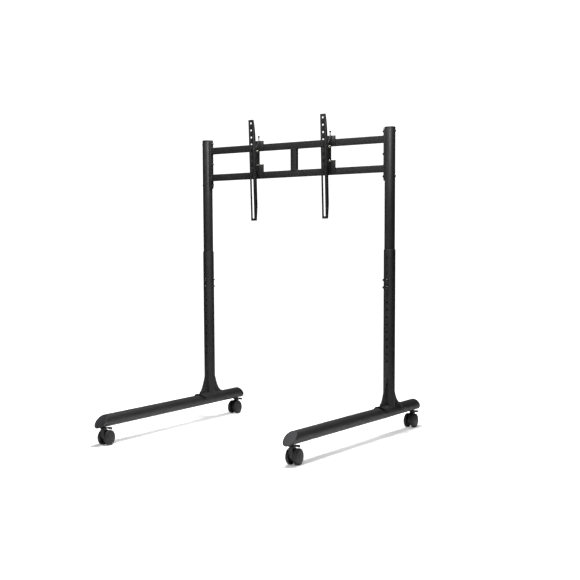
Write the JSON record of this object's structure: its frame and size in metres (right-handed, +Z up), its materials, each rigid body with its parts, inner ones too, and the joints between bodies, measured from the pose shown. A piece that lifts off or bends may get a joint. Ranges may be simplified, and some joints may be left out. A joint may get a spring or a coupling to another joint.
{
  "type": "mobile monitor stand",
  "caption": "Two-post mobile floor stand with telescoping posts, twin-wheel casters and hook-on tilting arms for a flat screen.",
  "frame": {"origin": "on the floor, under the middle of the stand's overall length and midway between the posts", "axes": "+Z up. -Y is the side that the screen faces, and the feet run along Y. +X is to the right for someone who looks at the screen."},
  "size_m": [0.989, 1.1426, 1.3738],
  "materials": {
    "black_powder_coat": "satin black powder coat",
    "black_plastic": "moulded black plastic",
    "caster_plastic": "dark grey moulded plastic",
    "black_bolt": "blackened steel, slightly glossy",
    "zinc_screw": "zinc plated, bright"
  },
  "bodies": {
    "base": {"left_foot_tube": "black_powder_coat", "left_front_end_cap": "black_plastic", "left_rear_end_cap": "black_plastic", "left_foot_saddle": "black_powder_coat", "left_lower_post": "black_powder_coat", "left_front_lower_height_bolt": "black_bolt", "left_front_upper_height_bolt": "black_bolt", "left_inner_lower_height_bolt": "black_bolt", "left_inner_upper_height_bolt": "black_bolt", "right_foot_tube": "black_powder_coat", "right_front_end_cap": "black_plastic", "right_rear_end_cap": "black_plastic", "right_foot_saddle": "black_powder_coat", "right_lower_post": "black_powder_coat", "right_front_lower_height_bolt": "black_bolt", "right_front_upper_height_bolt": "black_bolt", "right_inner_lower_height_bolt": "black_bolt", "right_inner_upper_height_bolt": "black_bolt"},
    "upper_frame": {"left_upper_post": "black_powder_coat", "left_top_cap": "black_plastic", "left_end_saddle": "black_powder_coat", "left_lower_saddle_bolt": "black_bolt", "left_middle_saddle_bolt": "black_bolt", "left_upper_saddle_bolt": "black_bolt", "right_upper_post": "black_powder_coat", "right_top_cap": "black_plastic", "right_end_saddle": "black_powder_coat", "right_lower_saddle_bolt": "black_bolt", "right_middle_saddle_bolt": "black_bolt", "right_upper_saddle_bolt": "black_bolt", "upper_crossbar": "black_powder_coat", "lower_crossbar": "black_powder_coat", "centre_strut": "black_powder_coat"},
    "left_hook": {"left_arm_hook": "black_powder_coat"},
    "right_hook": {"right_arm_hook": "black_powder_coat"},
    "left_screen_arm": {"left_arm": "black_powder_coat", "left_pivot_bolt": "zinc_screw", "left_tilt_lock_bolt": "zinc_screw"},
    "right_screen_arm": {"right_arm": "black_powder_coat", "right_pivot_bolt": "zinc_screw", "right_tilt_lock_bolt": "zinc_screw"},
    "left_screw": {"left_levelling_screw": "zinc_screw"},
    "right_screw": {"right_levelling_screw": "zinc_screw"},
    "left_front_caster": {"left_front_caster_housing": "black_plastic"},
    "left_front_wheel_in": {"left_front_inner_wheel": "caster_plastic"},
    "left_front_wheel_out": {"left_front_outer_wheel": "caster_plastic"},
    "left_front_brake": {"left_front_brake_lever": "black_plastic"},
    "left_rear_caster": {"left_rear_caster_housing": "black_plastic"},
    "left_rear_wheel_in": {"left_rear_inner_wheel": "caster_plastic"},
    "left_rear_wheel_out": {"left_rear_outer_wheel": "caster_plastic"},
    "left_rear_brake": {"left_rear_brake_lever": "black_plastic"},
    "right_front_caster": {"right_front_caster_housing": "black_plastic"},
    "right_front_wheel_in": {"right_front_inner_wheel": "caster_plastic"},
    "right_front_wheel_out": {"right_front_outer_wheel": "caster_plastic"},
    "right_front_brake": {"right_front_brake_lever": "black_plastic"},
    "right_rear_caster": {"right_rear_caster_housing": "black_plastic"},
    "right_rear_wheel_in": {"right_rear_inner_wheel": "caster_plastic"},
    "right_rear_wheel_out": {"right_rear_outer_wheel": "caster_plastic"},
    "right_rear_brake": {"right_rear_brake_lever": "black_plastic"}
  },
  "joints": [
    {"name": "height_slide", "type": "slide", "parent": "base", "child": "upper_frame", "axis": [0, 0, 1], "range_m": [-0.2835, 0.0945]},
    {"name": "left_hook_slide", "type": "slide", "parent": "upper_frame", "child": "left_hook", "axis": [1, 0, 0], "range_m": [-0.2, 0.1]},
    {"name": "right_hook_slide", "type": "slide", "parent": "upper_frame", "child": "right_hook", "axis": [1, 0, 0], "range_m": [-0.1, 0.2]},
    {"name": "left_arm_tilt", "type": "hinge", "parent": "left_hook", "child": "left_screen_arm", "pos_m": [-0.1876, 0.25258, 1.2355], "axis": [1, 0, 0], "range_deg": [-2.35, 7.5]},
    {"name": "right_arm_tilt", "type": "hinge", "parent": "right_hook", "child": "right_screen_arm", "pos_m": [0.1738, 0.25258, 1.2355], "axis": [1, 0, 0], "range_deg": [-2.35, 7.5]},
    {"name": "left_screw_lift", "type": "slide", "parent": "left_hook", "child": "left_screw", "axis": [0, 0, 1], "range_m": [0, 0.012]},
    {"name": "right_screw_lift", "type": "slide", "parent": "right_hook", "child": "right_screw", "axis": [0, 0, 1], "range_m": [0, 0.012]},
    {"name": "left_front_swivel", "type": "hinge", "parent": "base", "child": "left_front_caster", "pos_m": [-0.44076, -0.52714, 0.08], "axis": [0, 0, 1], "continuous": true},
    {"name": "left_front_roll_in", "type": "hinge", "parent": "left_front_caster", "child": "left_front_wheel_in", "pos_m": [-0.44119, -0.51065, 0.0315], "axis": [0.9997, 0.0262, 0], "continuous": true},
    {"name": "left_front_roll_out", "type": "hinge", "parent": "left_front_caster", "child": "left_front_wheel_out", "pos_m": [-0.44119, -0.51065, 0.0315], "axis": [0.9997, 0.0262, 0], "continuous": true},
    {"name": "left_front_brake_tip", "type": "hinge", "parent": "left_front_caster", "child": "left_front_brake", "pos_m": [-0.44076, -0.52714, 0.071], "axis": [0.9997, 0.0262, 0], "range_deg": [-6, 0]},
    {"name": "left_rear_swivel", "type": "hinge", "parent": "base", "child": "left_rear_caster", "pos_m": [-0.46832, 0.5255, 0.08], "axis": [0, 0, 1], "continuous": true},
    {"name": "left_rear_roll_in", "type": "hinge", "parent": "left_rear_caster", "child": "left_rear_wheel_in", "pos_m": [-0.46797, 0.512, 0.0315], "axis": [0.9997, 0.0262, 0], "continuous": true},
    {"name": "left_rear_roll_out", "type": "hinge", "parent": "left_rear_caster", "child": "left_rear_wheel_out", "pos_m": [-0.46797, 0.512, 0.0315], "axis": [0.9997, 0.0262, 0], "continuous": true},
    {"name": "left_rear_brake_tip", "type": "hinge", "parent": "left_rear_caster", "child": "left_rear_brake", "pos_m": [-0.46832, 0.5255, 0.071], "axis": [0.9997, 0.0262, 0], "range_deg": [-6, 0]},
    {"name": "right_front_swivel", "type": "hinge", "parent": "base", "child": "right_front_caster", "pos_m": [0.44076, -0.52714, 0.08], "axis": [0, 0, 1], "continuous": true},
    {"name": "right_front_roll_in", "type": "hinge", "parent": "right_front_caster", "child": "right_front_wheel_in", "pos_m": [0.44119, -0.51065, 0.0315], "axis": [0.9997, -0.0262, 0], "continuous": true},
    {"name": "right_front_roll_out", "type": "hinge", "parent": "right_front_caster", "child": "right_front_wheel_out", "pos_m": [0.44119, -0.51065, 0.0315], "axis": [0.9997, -0.0262, 0], "continuous": true},
    {"name": "right_front_brake_tip", "type": "hinge", "parent": "right_front_caster", "child": "right_front_brake", "pos_m": [0.44076, -0.52714, 0.071], "axis": [0.9997, -0.0262, 0], "range_deg": [-6, 0]},
    {"name": "right_rear_swivel", "type": "hinge", "parent": "base", "child": "right_rear_caster", "pos_m": [0.46832, 0.5255, 0.08], "axis": [0, 0, 1], "continuous": true},
    {"name": "right_rear_roll_in", "type": "hinge", "parent": "right_rear_caster", "child": "right_rear_wheel_in", "pos_m": [0.46797, 0.512, 0.0315], "axis": [0.9997, -0.0262, 0], "continuous": true},
    {"name": "right_rear_roll_out", "type": "hinge", "parent": "right_rear_caster", "child": "right_rear_wheel_out", "pos_m": [0.46797, 0.512, 0.0315], "axis": [0.9997, -0.0262, 0], "continuous": true},
    {"name": "right_rear_brake_tip", "type": "hinge", "parent": "right_rear_caster", "child": "right_rear_brake", "pos_m": [0.46832, 0.5255, 0.071], "axis": [0.9997, -0.0262, 0], "range_deg": [-6, 0]}
  ]
}
